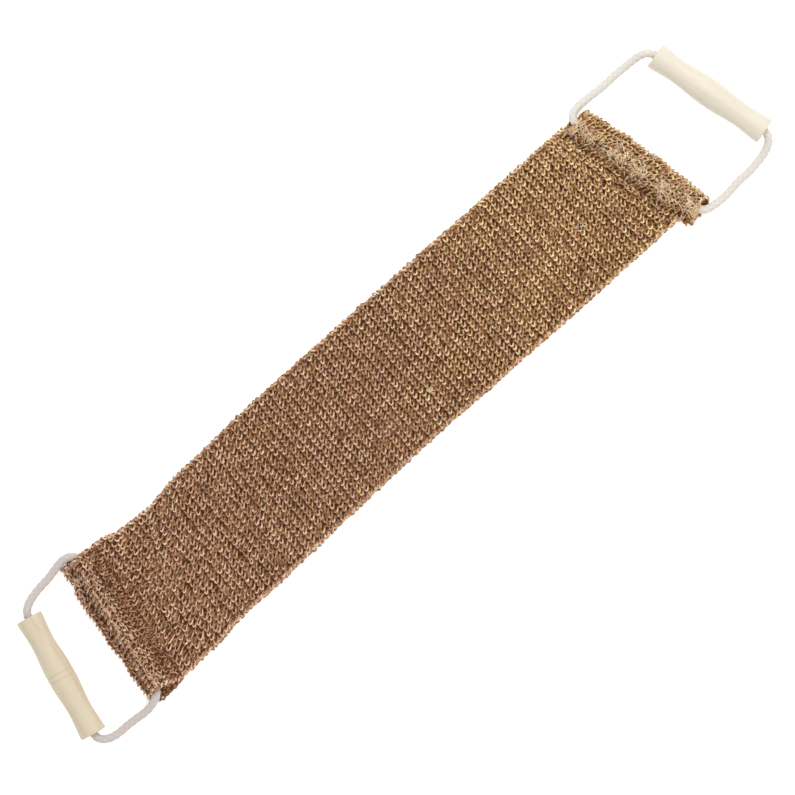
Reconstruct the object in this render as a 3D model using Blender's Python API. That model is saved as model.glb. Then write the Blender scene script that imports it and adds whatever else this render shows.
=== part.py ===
"""Knitted loofah back strap with a cord loop and a turned wooden grip at each end.

Metres, +Z up. The strap lies flat along X with its underside on Z = 0, and the
origin is at the middle of the whole object, on that underside. One knitted belt
ends in two hems. Each hem is a channel for a loop of braided cord, the loop runs
through a bored grip, and the cord's two ends are bound together in the channel.
"""
import math

import bmesh
import bpy
import numpy as np
from mathutils import Matrix, Vector

GAP = 0.0003                # clearance between pieces that lie against each other

# Knitted belt
BELT_SPAN = 0.52425         # from one hem channel to the other
BELT_MIDDLE_X = -0.0103     # halfway between the two channels
BELT_WIDTH = 0.1125
BELT_MIDDLE_Y = 0.0038
BELT_THICK = 0.0055
BELT_EDGE_ROUND = 0.0012
BEND_INNER_X = 0.052        # the inner bend lines lie this far each side of X = 0
BEND_SPACING = 0.100        # from an inner bend line to the outer one
EDGE_STEPS = 9              # outline points along one edge of a belt section
# How the two long edges wander: share of the span, then how far the +Y edge
# and the -Y edge stand outside the plain width.
EDGE_WANDER = (
    (0.000, 0.0042, 0.0084),
    (0.045, 0.0009, 0.0072),
    (0.090, -0.0045, 0.0066),
    (0.145, -0.0058, 0.0032),
    (0.205, -0.0018, 0.0034),
    (0.365, 0.0003, 0.0014),
    (0.520, 0.0000, 0.0000),
    (0.670, -0.0010, 0.0009),
    (0.825, -0.0021, 0.0020),
    (1.000, -0.0030, 0.0020),
)

# Braided cord, and the thread that binds its two ends
CORD_DIAMETER = 0.0065
CORD_STEP = 0.008           # spacing of the tube's rings along the cord
CORD_ROUTE_SAMPLES = 24     # samples between two route points
CORD_SIDES = 2              # bevel resolution: eight sides
BINDING_LENGTH = 0.018
BINDING_THREAD = 0.0006
BINDING_TURNS = 8

# Hems
CHANNEL_HALF = 0.054        # half the length of the cord channel
CHANNEL_CLEARANCE = 0.0005  # round the binding, which is the thickest thing inside
HEM_WALL = 0.0028
HEM_CREST_REACH = 0.013     # how far the swell over the cord spreads to the end
HEM_SECTIONS = 14
HEM_ACROSS = 14             # points across the top of a section

# Seam stitches
STITCH_THREAD = 0.0016
STITCH_SWING = 0.0022       # how far a stitch crosses to each side of the seam
STITCH_PITCH = 0.007
STITCH_POINTS = 6           # points on one zigzag
STITCH_MARGIN = 0.003       # bare seam at each end

# Turned grips
GRIP_LENGTH = 0.101
GRIP_END_RADIUS = 0.0104
GRIP_WAIST_RADIUS = 0.0092
GRIP_BELLY_RADIUS = 0.0108
GRIP_WAIST_AT = 0.029       # waist to middle
GRIP_EDGE_ROUND = 0.0012
GRIP_LINE_AT = 0.0023       # turned line to middle
GRIP_LINE_DEPTH = 0.0004
GRIP_LINE_WIDTH = 0.0009
GRIP_STEPS = 16             # rings from the middle to one end
GRIP_SIDES = 32
BORE_CLEARANCE = 0.00135    # between the cord and the bore

# Sizes that follow from the ones above
BINDING_RADIUS = CORD_DIAMETER / 2 + BINDING_THREAD
CHANNEL_RADIUS = BINDING_RADIUS + CHANNEL_CLEARANCE
CHANNEL_Z = HEM_WALL + CHANNEL_RADIUS
HEM_HIGH = 2 * (HEM_WALL + CHANNEL_RADIUS)
BORE_RADIUS = CORD_DIAMETER / 2 + BORE_CLEARANCE
GRIP_Z = max(GRIP_BELLY_RADIUS, GRIP_END_RADIUS)
CORD_LOW_Z = CORD_DIAMETER / 2 + GAP

# Each end has its own frame: P points out of the belt, Q along the channel.
# side: which way the end lies from the belt's middle. channel_y: the channel's
# middle, halfway along the hem. turn: direction of P.
# end_reach and seam_reach: from the channel to the free edge and to the seam,
# at Q = -CHANNEL_HALF, 0 and +CHANNEL_HALF. grip: the grip's middle in P and Q,
# and its turn from Q. hem_minus and hem_plus: route of the cord beyond the
# channel's -Q and +Q mouths, as steps (P, outward Q, height) from the mouth.
# grip_minus and grip_plus: the same from the grip's two ends.
LEFT = dict(
    name="left",
    side=-1.0,
    channel_y=0.0030,
    turn=math.radians(168.3),
    end_reach=(0.0162, 0.0142, 0.0081),
    seam_reach=(0.0113, 0.0142, 0.0171),
    grip=(0.0567, 0.0112, math.radians(-1.2)),
    hem_minus=(
        (0.0011, 0.0045, -0.0002), (0.0045, 0.0083, -0.0008), (0.0098, 0.0097, -0.0017),
        (0.0160, 0.0085, -0.0027), (0.0220, 0.0060, -0.0034),
    ),
    grip_minus=(
        (-0.0272, 0.0180, -0.0072), (-0.0200, 0.0158, -0.0066), (-0.0125, 0.0130, -0.0047),
        (-0.0066, 0.0099, -0.0024), (-0.0024, 0.0062, -0.0008), (-0.0004, 0.0026, -0.0001),
    ),
    grip_plus=(
        (-0.0003, 0.0024, -0.0001), (-0.0024, 0.0060, -0.0009), (-0.0066, 0.0085, -0.0025),
        (-0.0122, 0.0095, -0.0046), (-0.0182, 0.0090, -0.0064), (-0.0245, 0.0078, -0.0072),
    ),
    hem_plus=(
        (0.0255, 0.0145, -0.0036), (0.0180, 0.0138, -0.0031), (0.0110, 0.0121, -0.0022),
        (0.0052, 0.0090, -0.0010), (0.0012, 0.0048, -0.0002),
    ),
)
RIGHT = dict(
    name="right",
    side=1.0,
    channel_y=-0.0020,
    turn=math.radians(12.7),
    end_reach=(0.0118, 0.0150, 0.0130),
    seam_reach=(0.0095, 0.0095, 0.0095),
    grip=(0.0770, -0.0139, math.radians(0.4)),
    hem_minus=(
        (0.0010, 0.0045, -0.0002), (0.0043, 0.0086, -0.0008), (0.0095, 0.0112, -0.0017),
        (0.0165, 0.0135, -0.0028), (0.0240, 0.0150, -0.0035), (0.0350, 0.0162, -0.0036),
    ),
    grip_minus=(
        (-0.0300, 0.0084, -0.0072), (-0.0205, 0.0094, -0.0066), (-0.0130, 0.0094, -0.0049),
        (-0.0070, 0.0083, -0.0027), (-0.0026, 0.0058, -0.0010), (-0.0003, 0.0023, -0.0001),
    ),
    grip_plus=(
        (-0.0003, 0.0022, -0.0001), (-0.0023, 0.0060, -0.0009), (-0.0064, 0.0093, -0.0024),
        (-0.0124, 0.0116, -0.0046), (-0.0200, 0.0138, -0.0065), (-0.0291, 0.0162, -0.0072),
    ),
    hem_plus=(
        (0.0350, 0.0015, -0.0036), (0.0258, 0.0043, -0.0035), (0.0165, 0.0070, -0.0028),
        (0.0095, 0.0084, -0.0017), (0.0042, 0.0076, -0.0007), (0.0010, 0.0043, -0.0001),
    ),
)


def clear_scene():
    for thing in list(bpy.data.objects):
        bpy.data.objects.remove(thing, do_unlink=True)


def finish(name, colour, roughness):
    """A plain Principled finish, made once and shared by the pieces that have it."""
    found = bpy.data.materials.get(name)
    if found:
        return found
    made = bpy.data.materials.new(name)
    made.use_nodes = True
    shader = made.node_tree.nodes["Principled BSDF"]
    shader.inputs["Base Color"].default_value = (*colour, 1.0)
    shader.inputs["Roughness"].default_value = roughness
    shader.inputs["Metallic"].default_value = 0.0
    return made


def loofah_yarn():
    return finish("loofah_yarn", (0.30, 0.18, 0.10), 0.9)


def cotton():
    return finish("cotton", (0.78, 0.72, 0.66), 0.85)


def beech():
    return finish("beech", (0.80, 0.68, 0.48), 0.5)


def add_object(name, data, material, parent):
    """Links a piece whose mesh is written in its parent's frame."""
    data.materials.append(material)
    piece = bpy.data.objects.new(name, data)
    bpy.context.collection.objects.link(piece)
    piece.parent = parent
    return piece


def add_pivot(name, place, turn=0.0, parent=None):
    """An empty at place, in world axes, turned about Z: the frame of a moving body."""
    pivot = bpy.data.objects.new(name, None)
    bpy.context.collection.objects.link(pivot)
    world = Matrix.Translation(Vector(place)) @ Matrix.Rotation(turn, 4, "Z")
    pivot.parent = parent
    bpy.context.view_layer.update()
    pivot.matrix_world = world
    bpy.context.view_layer.update()
    return pivot


def mesh_from(name, points, faces):
    """A closed mesh with its faces turned outwards."""
    mesh = bpy.data.meshes.new(name)
    mesh.from_pydata([tuple(map(float, p)) for p in points], [], faces)
    work = bmesh.new()
    work.from_mesh(mesh)
    bmesh.ops.recalc_face_normals(work, faces=work.faces)
    work.to_mesh(mesh)
    work.free()
    return mesh


def smooth(mesh, angle=40.0):
    mesh.shade_smooth()
    mesh.set_sharp_from_angle(angle=math.radians(angle))


def ring_faces(rings, sides, closed_rings=False):
    """Quads between rings of points that are numbered ring by ring."""
    faces = []
    for ring in range(rings if closed_rings else rings - 1):
        here, there = ring * sides, (ring + 1) % rings * sides
        for side in range(sides):
            after = (side + 1) % sides
            faces.append((here + side, here + after, there + after, there + side))
    return faces


# ---------------------------------------------------------------- belt sections

def eased(value, keys, column):
    """Value of a column of keys, eased from one key to the next."""
    shares = [key[0] for key in keys]
    if value <= shares[0]:
        return keys[0][column]
    if value >= shares[-1]:
        return keys[-1][column]
    after = next(i for i, share in enumerate(shares) if share >= value)
    step = (value - shares[after - 1]) / (shares[after] - shares[after - 1])
    ease = step * step * (3 - 2 * step)
    return keys[after - 1][column] * (1 - ease) + keys[after][column] * ease


def edge_y(x, upper):
    """Y of the belt's upper or lower long edge at x."""
    share = (x - BELT_MIDDLE_X) / BELT_SPAN + 0.5
    if upper:
        return BELT_MIDDLE_Y + BELT_WIDTH / 2 + eased(share, EDGE_WANDER, 1)
    return BELT_MIDDLE_Y - BELT_WIDTH / 2 - eased(share, EDGE_WANDER, 2)


def end_place(end):
    return BELT_MIDDLE_X + end["side"] * BELT_SPAN / 2, end["channel_y"], CHANNEL_Z


def end_to_world(end, p, q):
    """World X and Y of a point given in an end's own P and Q."""
    x, y, _ = end_place(end)
    cos, sin = math.cos(end["turn"]), math.sin(end["turn"])
    return x + p * cos - q * sin, y + p * sin + q * cos


def seam_x(end, upper):
    """Where the seam line of an end meets a long edge of the belt, less the gap."""
    reach = end["seam_reach"]
    x0, y0 = end_to_world(end, -reach[0] - GAP, -CHANNEL_HALF)
    x1, y1 = end_to_world(end, -reach[2] - GAP, CHANNEL_HALF)
    x = x0
    for _ in range(8):
        x = x0 + (edge_y(x, upper) - y0) * (x1 - x0) / (y1 - y0)
    return x


def straight_cut(x):
    return x, x


def belt_section(name, cut_a, cut_b, parent):
    """A flat prism between two cuts, each an X on the upper and on the lower edge."""
    upper = np.linspace(cut_a[0], cut_b[0], EDGE_STEPS)
    lower = np.linspace(cut_b[1], cut_a[1], EDGE_STEPS)
    outline = [(x, edge_y(x, True)) for x in upper]
    outline += [(x, edge_y(x, False)) for x in lower]
    count = len(outline)
    points = [(x, y, 0.0) for x, y in outline] + [(x, y, BELT_THICK) for x, y in outline]
    base = parent.matrix_world.inverted() if parent else Matrix.Identity(4)
    points = [tuple(base @ Vector(p)) for p in points]
    faces = ring_faces(2, count) + [tuple(range(count)), tuple(range(count, 2 * count))]
    mesh = mesh_from(name, points, faces)
    piece = add_object(name, mesh, loofah_yarn(), parent)
    rounding = piece.modifiers.new("edge_round", "BEVEL")
    rounding.width = BELT_EDGE_ROUND
    rounding.segments = 2
    rounding.limit_method = "ANGLE"
    rounding.angle_limit = math.radians(40)
    return piece


# ------------------------------------------------------------------------ hems

def through_three(values, share):
    """Value at share -1 to +1 of the parabola through values at -1, 0 and +1."""
    low, middle, high = values
    return middle + (high - low) / 2 * share + ((high + low) / 2 - middle) * share ** 2


def hem_top(p, seam):
    """Height of a hem's top at p: belt thickness, swelling over the cord."""
    reach = seam if p < 0 else HEM_CREST_REACH
    share = min(1.0, abs(p) / reach)
    swell = math.cos(math.pi / 2 * share) ** 2
    return BELT_THICK + (HEM_HIGH - BELT_THICK) * swell


def hem_section(end, q):
    """Outer and bore loops of a hem at q, in the end's frame, equal in number."""
    share = q / CHANNEL_HALF
    seam = through_three(end["seam_reach"], share)
    far = through_three(end["end_reach"], share)
    across = np.linspace(-seam, far, HEM_ACROSS)
    top = [(p, hem_top(p, seam)) for p in across]
    top[-1] = (far, top[-1][1] * 0.72)
    under = [(p, 0.0) for p in across[::-1]]
    outer = [(p, q, z - CHANNEL_Z) for p, z in top + under]
    count = len(outer)
    start = math.pi - math.pi / count
    angles = [start - 2 * math.pi * i / count for i in range(count)]
    bore = [(CHANNEL_RADIUS * math.cos(a), q, CHANNEL_RADIUS * math.sin(a)) for a in angles]
    return outer, bore


def add_hem(end, pivot):
    """A sleeve along the channel: outer skin and bore joined at the two mouths."""
    outers, bores = [], []
    for q in np.linspace(-CHANNEL_HALF, CHANNEL_HALF, HEM_SECTIONS):
        outer, bore = hem_section(end, q)
        outers += outer
        bores += bore
    count = len(outers) // HEM_SECTIONS
    skin = ring_faces(HEM_SECTIONS, count)
    shift = len(outers)
    faces = skin + [tuple(shift + i for i in face) for face in skin]
    for ring in (0, HEM_SECTIONS - 1):
        first = ring * count
        for i in range(count):
            j = (i + 1) % count
            faces.append((first + i, first + j, shift + first + j, shift + first + i))
    name = f"hem_{end['name']}"
    return add_object(name, mesh_from(name, outers + bores, faces), loofah_yarn(), pivot)


def add_stitches(end, pivot):
    """One thread that zigzags over the seam, on top of the belt and the hem."""
    length = 2 * (CHANNEL_HALF - STITCH_MARGIN)
    count = round(length / STITCH_PITCH) * STITCH_POINTS
    points = []
    for q in np.linspace(-length / 2, length / 2, count + 1):
        seam = through_three(end["seam_reach"], q / CHANNEL_HALF)
        p = -seam + STITCH_SWING * math.sin(2 * math.pi * q / STITCH_PITCH)
        lift = max(hem_top(p + STITCH_THREAD, seam), BELT_THICK)
        points.append((p, q, lift + GAP + STITCH_THREAD / 2 - CHANNEL_Z))
    return add_tube(f"hem_stitching_{end['name']}", points, STITCH_THREAD, loofah_yarn(), pivot)


# ----------------------------------------------------------------------- cords

def add_tube(name, points, diameter, material, parent):
    """A round tube with filled caps on a poly spline."""
    curve = bpy.data.curves.new(name, "CURVE")
    curve.dimensions = "3D"
    curve.bevel_depth = diameter / 2
    curve.bevel_resolution = CORD_SIDES
    curve.use_fill_caps = True
    spline = curve.splines.new("POLY")
    spline.points.add(len(points) - 1)
    for point, place in zip(spline.points, points):
        point.co = (*place, 1.0)
    return add_object(name, curve, material, parent)


def smooth_line(route, samples):
    """Centripetal Catmull-Rom curve through the route's points."""
    route = [Vector(p) for p in route]
    route = [2 * route[0] - route[1], *route, 2 * route[-1] - route[-2]]
    line = []
    for p0, p1, p2, p3 in zip(route, route[1:], route[2:], route[3:]):
        t1 = (p1 - p0).length ** 0.5
        t2 = t1 + (p2 - p1).length ** 0.5
        t3 = t2 + (p3 - p2).length ** 0.5
        for i in range(samples):
            t = t1 + (t2 - t1) * i / samples
            a = p0 * ((t1 - t) / t1) + p1 * (t / t1)
            b = p1 * ((t2 - t) / (t2 - t1)) + p2 * ((t - t1) / (t2 - t1))
            c = p2 * ((t3 - t) / (t3 - t2)) + p3 * ((t - t2) / (t3 - t2))
            d = a * ((t2 - t) / t2) + b * (t / t2)
            e = b * ((t3 - t) / (t3 - t1)) + c * ((t - t1) / (t3 - t1))
            line.append(d * ((t2 - t) / (t2 - t1)) + e * ((t - t1) / (t2 - t1)))
    line.append(route[-2])
    return np.array([tuple(p) for p in line])


def spaced(line, step):
    """Points along a line at even distances close to step."""
    lengths = np.concatenate([[0.0], np.linalg.norm(np.diff(line, axis=0), axis=1).cumsum()])
    count = max(2, round(lengths[-1] / step) + 1)
    at = np.linspace(0.0, lengths[-1], count)
    return np.stack([np.interp(at, lengths, line[:, k]) for k in range(3)], axis=1)


def grip_axis(end):
    """Direction of the grip's axis in P and Q, from its -Q end to its +Q end."""
    turn = end["grip"][2]
    return -math.sin(turn), math.cos(turn)


def cord_route(end):
    """Route points of a cord loop in its end's frame, from binding to binding."""
    start = BINDING_LENGTH / 2 + GAP
    along_p, along_q = grip_axis(end)
    grip_p, grip_q, _ = end["grip"]
    half = GRIP_LENGTH / 2
    grip_rise = GRIP_Z - CHANNEL_Z

    def from_mouth(steps, side):
        return [(p, side * (CHANNEL_HALF + q), z) for p, q, z in steps]

    def from_grip(steps, side):
        end_p, end_q = grip_p + side * half * along_p, grip_q + side * half * along_q
        return [(end_p + p, end_q + side * q, grip_rise + z) for p, q, z in steps]

    def in_bore(share):
        return (grip_p + share * half * along_p, grip_q + share * half * along_q, grip_rise)

    channel = (start, CHANNEL_HALF * 0.5, CHANNEL_HALF * 0.85, CHANNEL_HALF)
    route = [(0.0, -q, 0.0) for q in channel]
    route += from_mouth(end["hem_minus"], -1)
    route += from_grip(end["grip_minus"], -1)
    route += [in_bore(share) for share in (-1.0, -0.9, -0.5, 0.0, 0.5, 0.9, 1.0)]
    route += from_grip(end["grip_plus"], 1)
    route += from_mouth(end["hem_plus"], 1)
    route += [(0.0, q, 0.0) for q in reversed(channel)]
    return [(p, q, max(z, CORD_LOW_Z - CHANNEL_Z)) for p, q, z in route]


def add_cord(end, pivot):
    line = smooth_line(cord_route(end), CORD_ROUTE_SAMPLES)
    points = spaced(line, CORD_STEP)
    return add_tube(f"cord_{end['name']}", points, CORD_DIAMETER, cotton(), pivot)


def turned(name, stations, material, parent, sides, bore=0.0):
    """A solid turned about the frame's Y axis: stations are (y, radius) outside."""
    angles = [2 * math.pi * i / sides for i in range(sides)]

    def ring(y, radius):
        return [(radius * math.cos(a), y, radius * math.sin(a)) for a in angles]

    points = [p for y, radius in stations for p in ring(y, radius)]
    rings = len(stations)
    if bore:
        points += ring(stations[-1][0], bore) + ring(stations[0][0], bore)
        faces = ring_faces(rings + 2, sides, closed_rings=True)
    else:
        faces = ring_faces(rings, sides)
        faces.append(tuple(range(sides)))
        faces.append(tuple(range((rings - 1) * sides, rings * sides)))
    mesh = mesh_from(name, points, faces)
    smooth(mesh)
    return add_object(name, mesh, material, parent)


def add_binding(end, pivot):
    """Turns of thread over the butted cord ends, as a ribbed barrel."""
    half = BINDING_LENGTH / 2
    stations = [(-half, BINDING_RADIUS - BINDING_THREAD)]
    for turn in range(BINDING_TURNS):
        middle = -half + BINDING_LENGTH * (turn + 0.5) / BINDING_TURNS
        reach = BINDING_LENGTH / BINDING_TURNS * 0.3
        stations.append((middle - reach, BINDING_RADIUS - BINDING_THREAD * 0.3))
        stations.append((middle, BINDING_RADIUS))
        stations.append((middle + reach, BINDING_RADIUS - BINDING_THREAD * 0.3))
    stations.append((half, BINDING_RADIUS - BINDING_THREAD))
    return turned(f"cord_binding_{end['name']}", stations, cotton(), pivot, GRIP_SIDES // 2)


# ----------------------------------------------------------------------- grips

def grip_radius(y):
    """Belly in the middle, a waist each side of it, and full ends."""
    away = abs(y)
    if away < GRIP_WAIST_AT:
        share = away / GRIP_WAIST_AT
        full, ease = GRIP_BELLY_RADIUS, (1 + math.cos(math.pi * share ** 1.15)) / 2
    else:
        share = (away - GRIP_WAIST_AT) / (GRIP_LENGTH / 2 - GRIP_WAIST_AT)
        full, ease = GRIP_END_RADIUS, (1 - math.cos(math.pi * share ** 1.1)) / 2
    radius = GRIP_WAIST_RADIUS + (full - GRIP_WAIST_RADIUS) * ease
    to_line = abs(away - GRIP_LINE_AT) / (GRIP_LINE_WIDTH / 2)
    return radius - GRIP_LINE_DEPTH * max(0.0, 1 - to_line)


def add_grip(end, pivot):
    half = GRIP_LENGTH / 2
    body = half - GRIP_EDGE_ROUND
    line = [GRIP_LINE_AT + k * GRIP_LINE_WIDTH / 2 for k in (-1, 0, 1)]
    plain = np.linspace(GRIP_LINE_AT + 1.5 * GRIP_LINE_WIDTH, body, GRIP_STEPS)
    stations = [(y, grip_radius(y)) for y in [0.0, *line, *plain]]
    for angle in (math.radians(30), math.radians(60), math.radians(90)):
        y = body + GRIP_EDGE_ROUND * math.sin(angle)
        stations.append((y, grip_radius(body) - GRIP_EDGE_ROUND * (1 - math.cos(angle))))
    stations = [(-y, radius) for y, radius in stations[:0:-1]] + stations
    return turned(f"handle_{end['name']}", stations, beech(), pivot, GRIP_SIDES, BORE_RADIUS)


# -------------------------------------------------------------------- assembly

def build_side(end, centre):
    """Everything beyond the middle belt section on one side."""
    sign, side = end["side"], end["name"]
    inner_x = sign * BEND_INNER_X
    outer_x = sign * (BEND_INNER_X + BEND_SPACING)
    inner = add_pivot(f"bend_inner_{side}", (inner_x, 0, BELT_THICK), parent=centre)
    outer = add_pivot(f"bend_outer_{side}", (outer_x, 0, BELT_THICK), parent=inner)
    half_gap = sign * GAP / 2
    seam = (seam_x(end, True), seam_x(end, False))
    belt_section(
        f"belt_{side}_inner", straight_cut(inner_x + half_gap), straight_cut(outer_x - half_gap), inner
    )
    belt_section(f"belt_{side}_outer", straight_cut(outer_x + half_gap), seam, outer)
    channel = add_pivot(f"hem_frame_{side}", end_place(end), end["turn"], outer)
    add_hem(end, channel)
    add_stitches(end, channel)
    swing = add_pivot(f"loop_swing_{side}", end_place(end), end["turn"], outer)
    add_cord(end, swing)
    add_binding(end, swing)
    grip_p, grip_q, grip_turn = end["grip"]
    x, y = end_to_world(end, grip_p, grip_q)
    spin = add_pivot(f"grip_spin_{side}", (x, y, GRIP_Z), end["turn"] + grip_turn, swing)
    add_grip(end, spin)


def build():
    clear_scene()
    middle = BEND_INNER_X - GAP / 2
    centre = belt_section("belt_centre", straight_cut(-middle), straight_cut(middle), None)
    build_side(LEFT, centre)
    build_side(RIGHT, centre)


build()
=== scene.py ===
"""Knitted loofah back strap: marled yarn, folded hems, braided cord loops, turned grips."""
import math

import bpy
import numpy as np
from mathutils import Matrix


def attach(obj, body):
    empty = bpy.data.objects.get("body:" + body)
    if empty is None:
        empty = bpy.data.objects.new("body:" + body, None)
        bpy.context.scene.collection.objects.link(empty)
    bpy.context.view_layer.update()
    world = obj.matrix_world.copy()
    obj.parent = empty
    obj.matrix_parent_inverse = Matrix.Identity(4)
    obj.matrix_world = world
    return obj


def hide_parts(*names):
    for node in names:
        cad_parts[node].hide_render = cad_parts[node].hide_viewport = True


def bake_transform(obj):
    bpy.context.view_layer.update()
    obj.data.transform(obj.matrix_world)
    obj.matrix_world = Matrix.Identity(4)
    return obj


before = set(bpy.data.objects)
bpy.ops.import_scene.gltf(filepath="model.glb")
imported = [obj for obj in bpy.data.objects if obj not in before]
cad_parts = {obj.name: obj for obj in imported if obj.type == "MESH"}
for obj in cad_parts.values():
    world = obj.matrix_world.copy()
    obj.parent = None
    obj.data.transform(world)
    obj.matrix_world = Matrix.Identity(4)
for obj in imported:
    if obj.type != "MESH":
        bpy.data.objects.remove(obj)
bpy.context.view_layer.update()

DICE = np.random.default_rng(41)

# ---- sizes, in metres
BELT_SPAN = 0.52425
BELT_MIDDLE_X = -0.0103
BELT_WIDTH = 0.1125
BELT_MIDDLE_Y = 0.0038
BELT_MID_Z = 0.00275  # height of the cloth's middle surface
# Share of the belt's span, then how far the upper and the lower long edge stand out.
EDGE_WANDER = (
    (0.0, 0.0042, 0.0084), (0.045, 0.0009, 0.0072), (0.09, -0.0045, 0.0066),
    (0.145, -0.0058, 0.0032), (0.205, -0.0018, 0.0034), (0.365, 0.0003, 0.0014), (0.52, 0.0, 0.0),
    (0.67, -0.001, 0.0009), (0.825, -0.0021, 0.002), (1.0, -0.003, 0.002),
)
# Slant of the knitted rows: station along the belt, then X gained per metre of Y.
ROW_SLANT = (
    (-0.258, 0.152), (-0.225, 0.06), (-0.185, 0.01), (0.15, -0.01), (0.215, -0.07),
    (0.2425, -0.225),
)
BELT_STATIONS = (-0.2583, 0.2425)  # the two seams, at the belt's middle line
BEND_STATIONS = (-0.152, -0.052, 0.052, 0.152)
BEND_BEYOND = 0.048  # sections are cut this far beyond the two outer bend stations
ROW_PITCH = 0.0057
SCRUNCHED_PITCH = 0.0043  # between the last rows before the right seam
STITCHES = 28  # in every row
STITCH_SAMPLES = 14
LOOP_LEAN = 0.0012  # the heads of loops lean this far towards one edge
LOOP_ROLL = 0.65  # and one leg rides higher: phase of the highest point
LOOP_PEAK = 2.7  # above 1, heads are narrow and legs lie low
YARN_SIDES = 8

CORD_DIAMETER = 0.0065
CHANNEL_HALF = 0.054  # from the channel's middle to its mouths
CHANNEL_Z = 0.00715
BINDING_LENGTH = 0.018
CORD_LOW_Z = 0.00355  # a cord's centre where it lies on the table
GRIP_LENGTH = 0.101
GRIP_END_RADIUS = 0.0104
GRIP_WAIST_RADIUS = 0.0092
GRIP_BELLY_RADIUS = 0.0108
GRIP_WAIST_AT = 0.029
GRIP_LINE_AT = 0.0023  # two turned lines, this far from the middle
GRIP_LINE_WIDTH = 0.00035
GRIP_EDGE_ROUND = 0.0012
BORE_RADIUS = 0.0046
BORE_EDGE_ROUND = 0.0008
GRIP_Z = 0.0108

# Each end in its own frame: P outwards from the belt, Q along the cord channel.
# end_reach, seam_reach: P of the fold outwards and of the seam inwards, at low, middle, high Q
# grip: P and Q of its middle, and its turn
# hem_minus to hem_plus: the cord's route. P, Q beyond the channel's mouth or grip's end, rise
# fold: outline of the fold. Share of end_reach (above 0) or seam_reach, P added, height
# rim_wander: share of Q, P added to the folded edge
# hem_edges, hem_shade: share of the way round the fold, then Q of both edges, or the brightness
# left by painted shade in the crease and the seam valley
# whiskers: title, count, P range, Q range and tufts, length, radius, way, its spread, yarn
LEFT = dict(
    name="left",
    side=-1.0,
    channel_y=0.003,
    turn=math.radians(168.3),
    end_reach=(0.0162, 0.0142, 0.0081),
    seam_reach=(0.0113, 0.0142, 0.0171),
    grip=(0.0567, 0.0112, math.radians(-1.2)),
    line_depth=0.00045,
    hem_minus=(
        (0.0011, 0.0045, -0.0002), (0.0045, 0.0083, -0.0008), (0.0098, 0.0097, -0.0017),
        (0.016, 0.0085, -0.0027), (0.022, 0.006, -0.0034),
    ),
    grip_minus=(
        (-0.0272, 0.018, -0.0072), (-0.02, 0.0158, -0.0066), (-0.0125, 0.013, -0.0047),
        (-0.0066, 0.0099, -0.0024), (-0.0024, 0.0062, -0.0008), (-0.0004, 0.0026, -0.0001),
    ),
    grip_plus=(
        (-0.0003, 0.0024, -0.0001), (-0.0024, 0.006, -0.0009), (-0.0066, 0.0085, -0.0025),
        (-0.0122, 0.0095, -0.0046), (-0.0182, 0.009, -0.0064), (-0.0245, 0.0078, -0.0072),
    ),
    hem_plus=(
        (0.0255, 0.0145, -0.0036), (0.018, 0.0138, -0.0031), (0.011, 0.0121, -0.0022),
        (0.0052, 0.009, -0.001), (0.0012, 0.0048, -0.0002),
    ),
    fold=(
        (-1.0, -0.004, 0.0026), (-1.0, 0.004, 0.002), (0.0, 0.0, 0.00185), (0.7, 0.0, 0.00185),
        (1.0, -0.0018, 0.002), (1.0, 0.0, 0.0035), (1.0, -0.0012, 0.0052), (0.74, 0.0, 0.0058),
        (0.5, 0.0, 0.004), (0.28, 0.0014, 0.0086), (0.0, 0.0014, 0.0124), (0.0, -0.0016, 0.0127),
        (-0.28, -0.001, 0.0102), (-0.62, 0.0, 0.0064), (-1.0, 0.001, 0.0048),
    ),
    rim_wander=(
        (-1.0, 0.0), (-0.84, 0.0002), (-0.74, -0.0022), (-0.6, 0.0012), (-0.35, 0.0006),
        (-0.1, -0.0003), (0.15, 0.0006), (0.35, -0.0009), (0.6, 0.0005), (1.0, 0.0004),
    ),
    hem_edges=(
        (0.0, -0.0612, 0.061), (0.2, -0.0612, 0.065), (0.34, -0.06, 0.0665),
        (0.5, -0.0585, 0.061), (0.62, -0.058, 0.059), (0.75, -0.0605, 0.0575),
        (0.88, -0.0615, 0.058), (1.0, -0.0615, 0.06),
    ),
    hem_shade=(
        (0.0, 1.0), (0.515, 1.0), (0.555, 0.02), (0.585, 0.02), (0.635, 1.0), (0.84, 0.95),
        (0.95, 0.35), (1.0, 0.2),
    ),
    hem_pitch=0.0047,
    whiskers=(
        # The two pale crest rows are pale yarn ends and also a painted highlight along the fold's
        # crest.
        ("crest_strands_and_highlight", 66, (0.0002, 0.0024), (-0.054, 0.054, 0),
         0.004, 0.00058, 1.57, 0.28, "pale"),
        ("crest_line_and_highlight", 34, (-0.0036, -0.0022), (-0.054, 0.054, 0),
         0.004, 0.0005, 1.57, 0.25, "pale"),
        ("rim_strands", 40, (0.0085, 0.0135), (-0.05, 0.05, 0), 0.005, 0.00042, 1.57, 0.35, "marl"),
        ("frayed_tuft", 22, (0.0125, 0.014), (-0.047, -0.037, 0),
         0.006, 0.00014, -0.5, 0.5, "fibre"),
    ),
)
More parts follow.
